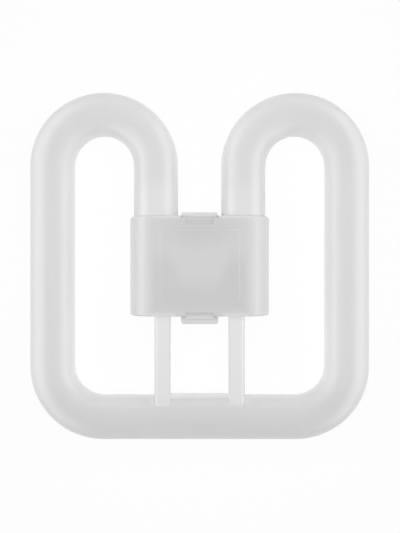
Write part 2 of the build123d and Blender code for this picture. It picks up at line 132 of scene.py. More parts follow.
class Workbench:
    """Edit-mode work on one mesh, with what the operators act on selected by place."""

    def __init__(self, piece: bpy.types.Object) -> None:
        """Take the piece to be worked on."""
        self.piece = piece

    def __enter__(self) -> "Workbench":
        """Select the piece alone and enter its edit mode.

        Returns:
            The workbench itself.
        """
        select_alone(self.piece)
        bpy.ops.object.mode_set(mode="EDIT")
        return self

    def __exit__(
        self,
        kind: type[BaseException] | None,
        error: BaseException | None,
        trace: TracebackType | None,
    ) -> None:
        """Go back to object mode."""
        bpy.ops.object.mode_set(mode="OBJECT")

    def pick(self, element: Element, test: Callable[[Vector], bool]) -> int:
        """Select the elements whose corners all pass a test, and nothing else.

        Args:
            element: Whether vertices, edges or faces are picked.
            test: Says of a corner's place whether it belongs.

        Returns:
            How many elements were picked.
        """
        bpy.ops.mesh.select_mode(type=element.value)
        bpy.ops.mesh.select_all(action="DESELECT")
        mesh = bmesh.from_edit_mesh(self.piece.data)
        if element is Element.VERTICES:
            found = [corner for corner in mesh.verts if test(corner.co)]
        else:
            items = mesh.edges if element is Element.EDGES else mesh.faces
            found = [item for item in items if all(test(corner.co) for corner in item.verts)]
        for item in found:
            item.select_set(True)
        mesh.select_flush_mode()
        bmesh.update_edit_mesh(self.piece.data)
        return len(found)

    def extrude(self, shift: Place) -> None:
        """Extrude what is selected by a shift."""
        bpy.ops.mesh.extrude_region_move(TRANSFORM_OT_translate={"value": shift})

    def bevel(self, width: float, segments: int) -> None:
        """Round the selected edges."""
        bpy.ops.mesh.bevel(offset=width, offset_type="OFFSET", segments=segments, affect="EDGES")

    def merge(self, distance: float) -> None:
        """Merge the corners that lie together."""
        bpy.ops.mesh.select_all(action="SELECT")
        bpy.ops.mesh.remove_doubles(threshold=distance)

    def face_outwards(self) -> None:
        """Turn every face outwards."""
        bpy.ops.mesh.select_all(action="SELECT")
        bpy.ops.mesh.normals_make_consistent(inside=False)


class Field:
    """A shader socket used as a number in Python expressions, each of which adds its Math nodes."""

    def __init__(self, shader: "Shader", socket: bpy.types.NodeSocket) -> None:
        """Wrap an output socket of a shader."""
        self.shader = shader
        self.socket = socket

    def _math(self, operation: str, first: Number, second: Number) -> "Field":
        """Add a Math node for one operation on two numbers."""
        return self.shader.node("ShaderNodeMath", {"operation": operation}, {0: first, 1: second})

    def __add__(self, other: Number) -> "Field":
        """Add."""
        return self._math("ADD", self, other)

    __radd__ = __add__

    def __sub__(self, other: Number) -> "Field":
        """Subtract another number from this one."""
        return self._math("SUBTRACT", self, other)

    def __rsub__(self, other: Number) -> "Field":
        """Subtract this number from another one."""
        return self._math("SUBTRACT", other, self)

    def __mul__(self, other: Number) -> "Field":
        """Multiply."""
        return self._math("MULTIPLY", self, other)

    __rmul__ = __mul__

    def __abs__(self) -> "Field":
        """Drop the sign."""
        return self._math("ABSOLUTE", self, 0.0)

    def at_least(self, other: Number) -> "Field":
        """Give the larger of two numbers."""
        return self._math("MAXIMUM", self, other)


class Shader:
    """The node tree of one material or of the world."""

    # The colour sockets of a Mix node, which shares their names with its other sockets
    MIX_FIRST = 6
    MIX_SECOND = 7
    MIX_RESULT = 2

    def __init__(self, owner: bpy.types.Material | bpy.types.World) -> None:
        """Start with an empty tree.

        Args:
            owner: The material or world whose tree this is.
        """
        owner.use_nodes = True
        self.tree = owner.node_tree
        self.tree.nodes.clear()
        in_world = isinstance(owner, bpy.types.World)
        self.output = "ShaderNodeOutputWorld" if in_world else "ShaderNodeOutputMaterial"

    def node(
        self,
        kind: str,
        settings: dict[str, object] | None = None,
        inputs: dict[str | int, object] | None = None,
        output: str | int = 0,
    ) -> Field:
        """Add a node, set it up and fill its sockets.

        Args:
            kind: The node's type.
            settings: The node's own properties.
            inputs: A constant or a linked field for each named or numbered input.
            output: The output socket that is wanted.

        Returns:
            The wanted output, or the node's first input where it has no output.
        """
        made = self.tree.nodes.new(kind)
        for name, value in (settings or {}).items():
            setattr(made, name, value)
        for name, value in (inputs or {}).items():
            if isinstance(value, Field):
                self.tree.links.new(value.socket, made.inputs[name])
            else:
                made.inputs[name].default_value = value
        return Field(self, made.outputs[output] if made.outputs else made.inputs[0])

    def place(self) -> Field:
        """Give the place on the object, in metres."""
        return self.node("ShaderNodeTexCoord", output="Object")

    def axes(self, place: Field, names: str) -> list[Field]:
        """Give the named axes of a place."""
        return [self.node("ShaderNodeSeparateXYZ", None, {"Vector": place}, output=name) for name in names]

    def noise(self, scale: float, detail: float, place: Field | None = None) -> Field:
        """Give a soft random pattern between 0 and 1.

        Args:
            scale: How many features there are in a metre.
            detail: How many finer layers it has.
            place: Where it is read, if not at the place on the object.

        Returns:
            The pattern.
        """
        inputs = {"Vector": place or self.place(), "Scale": scale, "Detail": detail}
        return self.node("ShaderNodeTexNoise", None, inputs)

    def step(self, value: Field, span: Span) -> Field:
        """Rise smoothly from 0 to 1.

        Args:
            value: What the step follows.
            span: The value at which it begins, and the one at which it is done.

        Returns:
            The step.
        """
        inputs = {"Value": value, "From Min": span[0], "From Max": span[1]}
        return self.node("ShaderNodeMapRange", {"interpolation_type": "SMOOTHSTEP"}, inputs)

    def band(self, value: Field, one_side: Span, other_side: Span) -> Field:
        """Give a soft band: 1 where the steps on both of its sides are done."""
        return self.step(value, one_side) * self.step(value, other_side)

    def patch(self, centre: Place, reach: Place, core: float = 0.6, mirrored: bool = False) -> Field:
        """Give a soft patch on the object: 1 about its centre, and 0 beyond its reach.

        Args:
            centre: Its middle, in metres.
            reach: How far it goes along each axis, in metres.
            core: The share of its reach within which it is full.
            mirrored: Whether it is repeated on the other side of the middle.

        Returns:
            The patch.
        """
        place = self.place()
        if mirrored:
            across, along, up = self.axes(place, "XYZ")
            place = self.node("ShaderNodeCombineXYZ", None, {"X": abs(across), "Y": along, "Z": up})
        from_centre = self.node(
            "ShaderNodeMapping",
            {"vector_type": "TEXTURE"},
            {"Vector": place, "Location": centre, "Scale": reach},
        )
        away = self.node("ShaderNodeVectorMath", {"operation": "LENGTH"}, {0: from_centre}, output="Value")
        return self.step(away, (1.0, core))

    def mix(self, factor: Number, first: "Colour | Field", second: "Colour | Field") -> Field:
        """Mix two colours.

        Args:
            factor: The share of the second colour.
            first: A colour or a linked field.
            second: A colour or a linked field.

        Returns:
            The mixed colour.
        """
        inputs = {"Factor": factor, self.MIX_FIRST: opaque(first), self.MIX_SECOND: opaque(second)}
        return self.node("ShaderNodeMix", {"data_type": "RGBA"}, inputs, self.MIX_RESULT)

    def bump(self, height: Field, distance: float) -> Field:
        """Turn a height, in units of a distance in metres, into a normal."""
        return self.node("ShaderNodeBump", None, {"Height": height, "Distance": distance})

    def principled(self, inputs: dict[str | int, object]) -> Field:
        """Give a Principled surface with its sockets filled."""
        return self.node("ShaderNodeBsdfPrincipled", None, inputs)

    def mix_surfaces(self, factor: Field, first: Field, second: Field) -> Field:
        """Mix two surfaces by the share of the second."""
        return self.node("ShaderNodeMixShader", None, {0: factor, 1: first, 2: second})

    def add_surfaces(self, first: Field, second: Field) -> Field:
        """Add up the light of two surfaces."""
        return self.node("ShaderNodeAddShader", None, {0: first, 1: second})

    def surface(self, shader: Field) -> None:
        """Make a shader the surface of the material or world."""
        self.node(self.output, None, {"Surface": shader})

    def backdrop_rays(self) -> Field:
        """Tell the rays that see the backdrop, straight, mirrored or through glass, from those that light.

        Returns:
            1 for a ray that sees the backdrop, and 0 for any other.
        """
        kinds = ("Is Camera Ray", "Is Glossy Ray", "Is Transmission Ray")
        camera, glossy, through = (self.node("ShaderNodeLightPath", output=kind) for kind in kinds)
        return camera.at_least(glossy).at_least(through)


def new_shader(name: str) -> tuple[bpy.types.Material, Shader]:
    """Make an empty material for a finish, and give it with its node tree."""
    material = bpy.data.materials.new(name)
    return material, Shader(material)


@dataclass(frozen=True)
class OpalGlass:
    """Smooth glass over the white powder that coats its inside.

    The powder is thinner in clouds. Its colour carries painted shade on the bottom run, and painted light at
    the collars, along the lip of the saddle and beside the feet of the struts, where the cap shades the glass.
    """

    name: str = "opal_glass"

    # Shades of the powder: its own, a painted shade for the bottom run, and painted light where the cap meets
    # the glass
    powder: Colour = grey(0.812)
    thin_powder: Colour = grey(0.792)
    painted_low_shade_powder: Colour = grey(0.762)
    painted_join_light: Colour = grey(0.87)
    painted_foot_light: Colour = grey(0.88)

    # Texture and gloss
    powder_roughness: float = 0.75
    roughness_swing: float = 0.1
    cloud_scale: float = 38.0
    cloud_detail: float = 3.0
    cloud_share: float = 0.8
    grain_scale: float = 2400.0
    grain_detail: float = 1.0
    gloss_share: float = 0.6
    gloss_roughness: float = 0.41
    glass_ior: float = 2.0
    scatter_depth: float = 0.012

    # Where the shades change
    painted_low_shade_y: Span = (-0.042, -0.058)
    saddle_centre: Place = (0.0, -0.0563, 0.0259)
    saddle_reach: Place = (0.032, 0.010, 0.010)
    lip_centre: Place = (0.0, -0.0512, 0.0245)
    lip_reach: Place = (0.030, 0.0052, 0.012)
    lip_core: float = 0.4
    lip_share: float = 0.85
    foot_centre: Place = (0.0186, -0.0517, 0.0235)
    foot_reach: Place = (0.0036, 0.0050, 0.008)
    foot_core: float = 0.3
    collar_centre: Place = (0.0174, 0.014, 0.0185)
    collar_reach: Place = (0.016, 0.026, 0.016)

    def material(self) -> bpy.types.Material:
        """Build the material: uneven powder, with painted shade and painted light, under a clear coat of
        glass.

        Light scatters deep into the free tube, but not where the cap holds it.

        Returns:
            The material.
        """
        material, shader = new_shader(self.name)
        clouds = shader.noise(self.cloud_scale, self.cloud_detail)
        at_collars = shader.patch(self.collar_centre, self.collar_reach, mirrored=True)
        at_saddle = shader.patch(self.saddle_centre, self.saddle_reach)
        powder = self._powder(shader, clouds, at_collars)
        roughness = self.powder_roughness + clouds * self.roughness_swing
        free, held = (
            shader.principled(
                {
                    "Base Color": powder,
                    "Roughness": roughness,
                    "Specular IOR Level": 0.0,
                    "Subsurface Weight": scatter_share,
                    "Subsurface Radius": WHITE,
                    "Subsurface Scale": self.scatter_depth,
                    "Coat Weight": self.gloss_share,
                    "Coat Roughness": self.gloss_roughness,
                    "Coat IOR": self.glass_ior,
                }
            )
            for scatter_share in (1.0, 0.0)
        )
        shader.surface(shader.mix_surfaces(at_saddle.at_least(at_collars), free, held))
        return material

    def _powder(self, shader: Shader, clouds: Field, at_collars: Field) -> Field:
        """Give the colour of the powder, with painted shade on the bottom run and painted light where the cap
        meets the glass.

        Args:
            shader: The material's node tree.
            clouds: The broad unevenness of the coat.
            at_collars: The patches where the legs enter the cap.

        Returns:
            The colour.
        """
        grain = shader.noise(self.grain_scale, self.grain_detail)
        (along,) = shader.axes(shader.place(), "Y")
        thinness = clouds * self.cloud_share + grain * (1 - self.cloud_share)
        coat = shader.mix(thinness, self.powder, self.thin_powder)
        # Painted shade: the bottom run is darker, as if less light reached it
        painted_low_shade = shader.mix(shader.step(along, self.painted_low_shade_y), coat, self.painted_low_shade_powder)
        # Painted light along the lip of the saddle and at the collars, over the shade that the cap casts on
        # the glass
        by_lip = shader.patch(self.lip_centre, self.lip_reach, self.lip_core) * self.lip_share
        even = shader.mix(at_collars.at_least(by_lip), painted_low_shade, self.painted_join_light)
        # Painted light beside the feet of the struts, over the shade that they cast on the glass
        by_feet = shader.patch(self.foot_centre, self.foot_reach, self.foot_core, mirrored=True)
        return shader.mix(by_feet, even, self.painted_foot_light)


@dataclass(frozen=True)
class MouldedPlastic:
    """White moulded plastic, through whose thin walls some light passes.

    Its colour carries painted shade on the front over the inside of the cap and round the upper latch, and
    painted light on its rims, shoulders, struts and latch bar, as for light that comes through thin walls,
    with painted shade along the struts' edges and a painted highlight on the line round the panel. Each span
    says where a soft step begins and where it is done: across the lamp from its middle (x), along the lamp
    (y), or off the edge of the panel.
    """

    name: str = "cap_plastic"

    # Shades, texture and gloss: the body's own colour, a painted shade and a painted light
    body: Colour = grey(0.755)
    painted_shade: Colour = grey(0.678)
    painted_light_tone: Colour = grey(0.97)
    roughness: float = 0.37
    roughness_swing: float = 0.1
    plastic_ior: float = 1.7
    mottle_scale: float = 160.0
    mottle_detail: float = 2.0
    scatter_share: float = 0.2
    scatter_depth: float = 0.002
    grain_scale: float = 5200.0
    grain_detail: float = 2.0
    grain_depth: float = 0.000012

    # Painted shade on the front over the inside of the cap, which rises at its sides, and round the upper
    # latch
    painted_shade_share: float = 0.8
    painted_shade_y: Span = (-0.001, -0.0125)
    painted_shade_rise: float = 0.010
    rise_x: Span = (0.006, 0.013)
    rim_y: Span = (-0.0155, -0.0195)
    side_x: Span = (0.0155, 0.0205)
    latch_centre: Place = (0.0, 0.0155, 0.0265)
    latch_reach: Place = (0.019, 0.0115, 0.012)
    latch_core: float = 0.15

    # The painted highlight line round the panel
    panel_y: float = -0.0004
    panel_half: Pair = (0.0156, 0.0146)
    panel_line: Span = (0.0004, 0.0001)
    line_end_y: Span = (-0.0146, -0.0138)
    line_share: float = 0.2

    # Painted light on the rims and shoulders of the cap
    painted_top_y: Span = (0.018, 0.0205)
    painted_edge_x: Span = (0.0235, 0.027)
    edge_share: float = 0.5
    shoulder_x: Span = (0.0180, 0.0203)
    shoulder_end_x: Span = (0.0250, 0.0225)
    shoulder_share: float = 0.17

    # Painted light on the struts and on the latch bar between them, with painted shade along the struts' edges
    painted_below_y: Span = (-0.018, -0.0205)
    strut_x: Span = (0.0085, 0.0105)
    cheek_x: Span = (0.0205, 0.0185)
    frame_y: Span = (-0.026, -0.030)
    bar_y: Span = (-0.0199, -0.0206)
    bar_share: float = 0.5
    strut_inside_x: Span = (0.01235, 0.01215)
    strut_inside_end_x: Span = (0.01165, 0.0118)
    strut_outside_x: Span = (0.0175, 0.0178)
    strut_root_y: Span = (-0.0205, -0.0215)
    strut_foot_y: Span = (-0.0525, -0.0505)
    strut_edge_share: float = 0.5

    def material(self) -> bpy.types.Material:
        """Build the material: faint mottle, painted shade and painted light, fine moulded grain and a satin
        gloss.

        Returns:
            The material.
        """
        material, shader = new_shader(self.name)
        grain = shader.noise(self.grain_scale, self.grain_detail)
        across, along = shader.axes(shader.place(), "XY")
        out = abs(across)
        # The body colour with painted shade; painted light is mixed over it in Base Color
        shaded_body = self._shaded_body(shader, out, along)
        shader.surface(
            shader.principled(
                {
                    "Base Color": shader.mix(self._painted_light_share(shader, out, along), shaded_body, self.painted_light_tone),
                    "Roughness": self.roughness + grain * self.roughness_swing,
                    "IOR": self.plastic_ior,
                    "Subsurface Weight": self.scatter_share,
                    "Subsurface Radius": WHITE,
                    "Subsurface Scale": self.scatter_depth,
                    "Normal": shader.bump(grain, self.grain_depth),
                }
            )
        )
        return material

    def _shaded_body(self, shader: Shader, out: Field, along: Field) -> Field:
        """Give the body colour, with its faint mottle and the painted shade over the inside of the cap and
        round the upper latch.

        Args:
            shader: The material's node tree.
            out: The distance from the middle of the lamp.
            along: The place along the lamp.

        Returns:
            The colour.
        """
        mottle = shader.noise(self.mottle_scale, self.mottle_detail)
        middle = (1 - shader.step(along, self.rim_y)) * (1 - shader.step(out, self.side_x))
        rise = shader.step(out, self.rise_x) * self.painted_shade_rise
        # Painted shade round the upper latch
        painted_latch_shade = shader.patch(self.latch_centre, self.latch_reach, self.latch_core)
        # Painted shade on the front over the inside of the cap, rising at its sides
        painted_shade = (shader.step(along - rise, self.painted_shade_y) * middle).at_least(painted_latch_shade)
        # Painted shade, mixed with the plastic's own faint mottle
        depth = painted_shade * self.painted_shade_share + mottle * (1 - self.painted_shade_share)
        return shader.mix(depth, self.body, self.painted_shade)

    def _painted_light_share(self, shader: Shader, out: Field, along: Field) -> Field:
        """Say how much painted light a place gets.

        Args:
            shader: The material's node tree.
            out: The distance from the middle of the lamp.
            along: The place along the lamp.

        Returns:
            1 where the painted light is full, and 0 where there is none.
        """
        # Painted light on the top and side rims, and on the shoulders
        edges = shader.step(along, self.painted_top_y).at_least(shader.step(out, self.painted_edge_x))
        shoulders = shader.band(out, self.shoulder_x, self.shoulder_end_x)
        rims = (edges * self.edge_share).at_least(shoulders * self.shoulder_share)
        strut_roots = shader.band(out, self.strut_x, self.cheek_x)
        strut_frame = strut_roots.at_least(shader.step(along, self.frame_y))
        # Painted light on the latch bar, and on the struts and their frame below the cap
        bars = shader.step(along, self.bar_y) * self.bar_share
        below = (shader.step(along, self.painted_below_y) * strut_frame).at_least(bars)
        # Painted shade along the edges of the struts takes back part of their painted light
        on_strut = shader.band(along, self.strut_root_y, self.strut_foot_y)
        inside = shader.band(out, self.strut_inside_x, self.strut_inside_end_x)
        strut_edges = inside.at_least(shader.step(out, self.strut_outside_x)) * on_strut
        walls = below * (1 - strut_edges * self.strut_edge_share)
        # Painted highlight on the line round the panel
        line = self._panel_line(shader, out, along) * self.line_share
        return walls.at_least(rims * (1 - on_strut)).at_least(line)

    def _panel_line(self, shader: Shader, out: Field, along: Field) -> Field:
        """Give the painted highlight line round the panel, which ends above its lower edge.

        Args:
            shader: The material's node tree.
            out: The distance from the middle of the lamp.
            along: The place along the lamp.

        Returns:
            1 on the line, and 0 off it.
        """
        half_width, half_height = self.panel_half
        outside = (out - half_width).at_least(abs(along - self.panel_y) - half_height)
        return shader.step(abs(outside), self.panel_line) * shader.step(along, self.line_end_y)


@dataclass(frozen=True)
class Brass:
    """Bright brass, drawn along the pins."""

    name: str = "pin_brass"
    bright: Colour = (0.78, 0.66, 0.38)
    dull: Colour = (0.66, 0.54, 0.30)
    roughness: float = 0.2
    roughness_swing: float = 0.2
    streak_stretch: Place = (9000.0, 9000.0, 300.0)
    streak_detail: float = 3.0
    streak_depth: float = 0.000008

    def material(self) -> bpy.types.Material:
        """Build the material: fine drawn streaks in colour, gloss and relief.

        Returns:
            The material.
        """
        material, shader = new_shader(self.name)
        drawn = shader.node(
            "ShaderNodeMapping", None, {"Vector": shader.place(), "Scale": self.streak_stretch}
        )
        streaks = shader.noise(1.0, self.streak_detail, drawn)
        shader.surface(
            shader.principled(
                {
                    "Base Color": shader.mix(streaks, self.bright, self.dull),
                    "Metallic": 1.0,
                    "Roughness": self.roughness + streaks * self.roughness_swing,
                    "Normal": shader.bump(streaks, self.streak_depth),
                }
            )
        )
        return material


@dataclass(frozen=True)
class CoatedSurface:
    """A small inner piece with an uneven surface, such as silicone, tinned wire or a dipped coating."""

    name: str
    light: Colour
    dark: Colour
    roughness: float
    roughness_swing: float = 0.1
    metallic: float = 0.0
    lump_scale: float = 900.0
    lump_detail: float = 3.0
    lump_depth: float = 0.00002
    transmission: float = 0.0

    def material(self) -> bpy.types.Material:
        """Build the material: two shades over a lumpy relief.

        Returns:
            The material.
        """
        material, shader = new_shader(self.name)
        lumps = shader.noise(self.lump_scale, self.lump_detail)
        shader.surface(
            shader.principled(
                {
                    "Base Color": shader.mix(lumps, self.light, self.dark),
                    "Metallic": self.metallic,
                    "Roughness": self.roughness + lumps * self.roughness_swing,
                    "Transmission Weight": self.transmission,
                    "Normal": shader.bump(lumps, self.lump_depth),
                }
            )
        )
        return material


SILICONE = CoatedSurface("seal_silicone", (0.80, 0.80, 0.78), (0.74, 0.74, 0.72), 0.5)
TINNED_WIRE = CoatedSurface("lead_wire", (0.66, 0.65, 0.62), (0.56, 0.55, 0.52), 0.25, metallic=1.0)
STARTER_GLASS = CoatedSurface(
    "starter_glass", (0.78, 0.81, 0.79), (0.72, 0.75, 0.73), 0.04, lump_depth=0.000004, transmission=0.85
)
CAPACITOR_COAT = CoatedSurface(
    "capacitor_coat", (0.74, 0.47, 0.17), (0.66, 0.39, 0.13), 0.25, lump_scale=600.0, lump_depth=0.00006
)


@dataclass(frozen=True)
class StudioWhite:
    """The floor: white to whoever looks at it, and a plain reflector for the light, with a soft shadow."""

    name: str = "studio_white"
    glow: float = 0.88
    shadow_share: float = 0.15
    reflector: float = 0.5
    grain_shade: float = 0.99
    grain_scale: float = 40.0
    grain_detail: float = 2.0
    table_light: float = 0.55
    table_spot: float = 0.12
    spot_centre: Place = (0.0, 0.0, 0.0)
    spot_reach: Place = (0.08, 0.08, 0.08)

    def material(self) -> bpy.types.Material:
        """Build the material: a glow that keeps a share of the floor's own light and shadow.

        Returns:
            The material.
        """
        material, shader = new_shader(self.name)
        grain = shader.noise(self.grain_scale, self.grain_detail)
        tone = shader.mix(grain, grey(self.reflector), grey(self.reflector * self.grain_shade))
        spot = shader.patch(self.spot_centre, self.spot_reach) * self.table_spot
        table = shader.add_surfaces(
            shader.node("ShaderNodeBsdfDiffuse", None, {"Color": tone}),
            shader.node("ShaderNodeEmission", None, {"Strength": self.table_light + spot}),
        )
        seen = shader.add_surfaces(
            shader.node("ShaderNodeEmission", None, {"Strength": self.glow}),
            shader.node("ShaderNodeBsdfDiffuse", None, {"Color": opaque(grey(self.shadow_share))}),
        )
        shader.surface(shader.mix_surfaces(shader.backdrop_rays(), table, seen))
        return material


@dataclass
class DischargeTube:
    """The folded glass tube, from its left end inside the cap round to its right end."""

    radius: float
    axis_z: float
    inner_leg_x: float
    outer_leg_x: float
    top_y: float
    bottom_y: float
    corner_radius: float = 0.0211
    leg_end_y: float = -0.008
    leg_end_round: float = 0.003
    tip_radius: float = 0.0017
    tip_length: float = 0.004
    tip_round: float = 0.0012
    bend_thinning: float = 0.05
    sides: int = 96
    arch_steps: int = 64
    corner_steps: int = 32
    end_segments: int = 6
    tip_segments: int = 4
    ring_reach: float = 1.01
    merge_distance: float = 1e-7
    sharp_angle: float = 40.0

    @classmethod
    def from_solids(cls) -> "DischargeTube":
        """Take the sizes from the tube's solid and the seals round its legs.

        Returns:
            The tube, ready to be built.
        """
        low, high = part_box("discharge_tube")
        seal_low, seal_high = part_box("tube_seal_right")
        radius = (high[2] - low[2]) / 2
        return cls(
            radius=radius,
            axis_z=(high[2] + low[2]) / 2,
            inner_leg_x=(seal_low[0] + seal_high[0]) / 2,
            outer_leg_x=high[0] - radius,
            top_y=high[1],
            bottom_y=low[1] + radius,
        )

    @property
    def arch_x(self) -> float:
        """Give the distance of each arch's centre from the middle."""
        return (self.inner_leg_x + self.outer_leg_x) / 2

    @property
    def arch_radius(self) -> float:
        """Give the radius of an arch's centreline."""
        return (self.outer_leg_x - self.inner_leg_x) / 2

    @property
    def arch_y(self) -> float:
        """Give the place along the lamp at which the arches begin."""
        return self.top_y - self.radius - self.arch_radius

    def build(self) -> bpy.types.Object:
        """Model the tube: one ring drawn along the legs and turned round the bends.

        Returns:
            The finished piece.
        """
        bpy.ops.object.select_all(action="DESELECT")
        bpy.ops.mesh.primitive_circle_add(
            vertices=self.sides,
            radius=self.radius,
            location=(-self.inner_leg_x, self.leg_end_y, self.axis_z),
            rotation=(math.pi / 2, 0.0, 0.0),
        )
        piece = bpy.context.object
        piece.name = piece.data.name = "glass_tube"
        bpy.ops.object.transform_apply(location=True, rotation=True, scale=True)
        corner_x = self.outer_leg_x - self.corner_radius
        corner_y = self.bottom_y + self.corner_radius
        with Workbench(piece) as bench:
            bpy.ops.mesh.select_all(action="SELECT")
            bench.extrude((0.0, self.arch_y - self.leg_end_y, 0.0))
            self._turn((-self.arch_x, self.arch_y), math.pi, self.arch_steps)
            bench.extrude((0.0, corner_y - self.arch_y, 0.0))
            self._turn((-corner_x, corner_y), math.pi / 2, self.corner_steps)
            bench.extrude((2 * corner_x, 0.0, 0.0))
            self._turn((corner_x, corner_y), math.pi / 2, self.corner_steps)
            bench.extrude((0.0, self.arch_y - corner_y, 0.0))
            self._turn((self.arch_x, self.arch_y), math.pi, self.arch_steps)
            bench.extrude((0.0, self.leg_end_y - self.arch_y, 0.0))
            bench.merge(self.merge_distance)
            for side in (-1, 1):
                self._close_end(bench, side)
            bench.face_outwards()
        move_corners(piece, self._thin_bend)
        smooth(piece, self.sharp_angle)
        return piece

    def _turn(self, centre: Pair, angle: float, steps: int) -> None:
        """Spin the open ring round a bend.

        Args:
            centre: The middle of the bend, across and along the lamp.
            angle: How far it turns, in radians.
            steps: How many rings it gets.
        """
        bpy.ops.mesh.spin(
            steps=steps, angle=angle, center=(*centre, self.axis_z), axis=(0.0, 0.0, -1.0), dupli=False
        )

    def _close_end(self, bench: Workbench, side: int) -> None:
        """Close one end of the tube with a rounded wall and the tip left by exhausting it.

        Args:
            bench: The work on the tube.
            side: -1 for the left end, 1 for the right.
        """
        middle = Vector((side * self.inner_leg_x, self.leg_end_y, self.axis_z))
        tip_y = middle.y - self.tip_length
        flat_radius = self.radius - self.leg_end_round

        def in_ring(y: float, radius: float) -> Callable[[Vector], bool]:
            """Give the test for a place that lies in the plane of a ring and within it."""
            reach = radius * self.ring_reach
            return lambda place: abs(place.y - y) < IN_PLANE and (place - middle).xz.length < reach

        bench.pick(Element.VERTICES, in_ring(middle.y, self.radius))
        bpy.ops.mesh.edge_face_add()
        bench.pick(Element.EDGES, in_ring(middle.y, self.radius))
        bench.bevel(self.leg_end_round, self.end_segments)
        bench.pick(Element.FACES, in_ring(middle.y, flat_radius))
        bpy.ops.mesh.inset(thickness=flat_radius - self.tip_radius)
        bench.extrude((0.0, -self.tip_length, 0.0))
        bench.pick(Element.EDGES, in_ring(tip_y, self.tip_radius))
        bench.bevel(self.tip_round, self.tip_segments)

    def _thin_bend(self, place: Vector) -> None:
        """Draw the inner wall of an arch towards the tube's axis, most at the top of the bend.

        Args:
            place: A corner of the tube.
        """
        if place.y <= self.arch_y:
            return
        centre = Vector((math.copysign(self.arch_x, place.x), self.arch_y))
        spoke = place.xy - centre
        inwards = self.arch_radius - spoke.length
        if inwards <= 0:
            return
        bend = (spoke.y / spoke.length) ** 2
        reach = self.arch_radius - inwards * (1 - self.bend_thinning * bend)
        place.x, place.y = centre + spoke.normalized() * reach

    def dress(self, piece: bpy.types.Object) -> None:
        """Finish the tube and stand it in for its solid.

        Args:
            piece: The tube.
        """
        dress(piece, OpalGlass().material())
        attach(piece, ROOT)
        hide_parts("discharge_tube")


class Detail(Protocol):
    """A fine feature that is worked into a moulded piece."""

    def apply(self, piece: bpy.types.Object) -> None:
        """Work the feature into the piece."""


@dataclass(frozen=True)
class Seat:
    """A round seat on the bottom run of the tube, whose wall lies tight on the glass. Turns are in degrees."""

    axis_y: float
    axis_z: float
    radius: float
    reach: float = 0.0001
    bite: float = 0.00002
    lip_turn: Span = (22.0, 36.0)
    turn_slack: float = 0.1
    lip_half: float = 0.01172
    lip_wall: float = 0.0006
    lip_sink: float = 0.0011

    def apply(self, piece: bpy.types.Object) -> None:
        """Draw the wall of the seat up to the glass, and let the thin lip in front run out on it."""
        move_corners(piece, self._settle)

    def _settle(self, place: Vector) -> None:
        """Take a corner of the seat or of the lip to the glass.

        Args:
            place: A corner of the moulded piece.
        """
        spoke = Vector((place.y - self.axis_y, place.z - self.axis_z))
        if 0.0 < spoke.length - self.radius < self.reach:
            spoke *= (self.radius - self.bite) / spoke.length
        spoke *= 1 - self._sunk(place.x, spoke) / spoke.length
        place.y, place.z = self.axis_y + spoke.x, self.axis_z + spoke.y

    def _sunk(self, across: float, spoke: Vector) -> float:
        """Say how far a corner of the lip goes into the glass.

        Args:
            across: The corner's place across the lamp.
            spoke: Where it lies from the axis of the run, along the lamp and to the front.

        Returns:
            The depth, which is 0 for a corner that isn't on the lip.
        """
        start, end = self.lip_turn
        turn = math.degrees(math.atan2(spoke.y, spoke.x))
        on_lip = start < turn < end + self.turn_slack and abs(across) < self.lip_half + ON_EDGE
        if not on_lip or spoke.length > self.radius + self.lip_wall:
            return 0.0
        return self.lip_sink * (turn - start) / (end - start)


@dataclass(frozen=True)
class StrutSides:
    """The outer sides of the two struts, which lie a little further in than those of the solid."""

    axis_z: float
    middle_x: float = 0.01507
    half_width: float = 0.00335
    height: float = 0.0073
    root_y: float = -0.0199
    drawn_in: float = 0.0003

    def apply(self, piece: bpy.types.Object) -> None:
        """Draw the outer sides in."""
        move_corners(piece, self._draw_in)

    def _draw_in(self, place: Vector) -> None:
        """Draw a corner in, if it lies on the outer half of a strut.

        Args:
            place: A corner of the moulded piece.
        """
        out = abs(place.x) - self.middle_x
        rise = place.z - self.axis_z
        beside = 0.0 < out < self.half_width + ON_EDGE and -ON_EDGE < rise < self.height
        if beside and place.y < self.root_y:
            place.x -= math.copysign(self.drawn_in * out / self.half_width, place.x)


@dataclass(frozen=True)
class PanelEdge:
    """The sloping edge of the panel that is let into the front of the cap."""

    half_width: float = 0.0155
    half_height: float = 0.0145
    middle_y: float = -0.0004
    corner_round: float = 0.001
    slope: float = 0.00035

    def apply(self, piece: bpy.types.Object) -> None:
        """Slope the edge by widening its upper rim.

        Args:
            piece: The moulded piece that has the panel.
        """
        front_z = max(corner.co.z for corner in piece.data.vertices)

        def on_rim(place: Vector) -> bool:
            """Tell whether a place lies on the upper rim of the panel's edge."""
            across = abs(place.x) - self.half_width + self.corner_round
            along = abs(place.y - self.middle_y) - self.half_height + self.corner_round
            out = math.hypot(max(across, 0.0), max(along, 0.0))
            return place.z > front_z - IN_PLANE and abs(out - self.corner_round) < ON_EDGE

        with Workbench(piece) as bench:
            picked = bench.pick(Element.VERTICES, on_rim)
            LOG.info("%s has %d corners round its panel", piece.name, picked)
            bpy.ops.transform.resize(
                value=(1 + self.slope / self.half_width, 1 + self.slope / self.half_height, 1.0),
                center_override=(0.0, self.middle_y, front_z),
            )


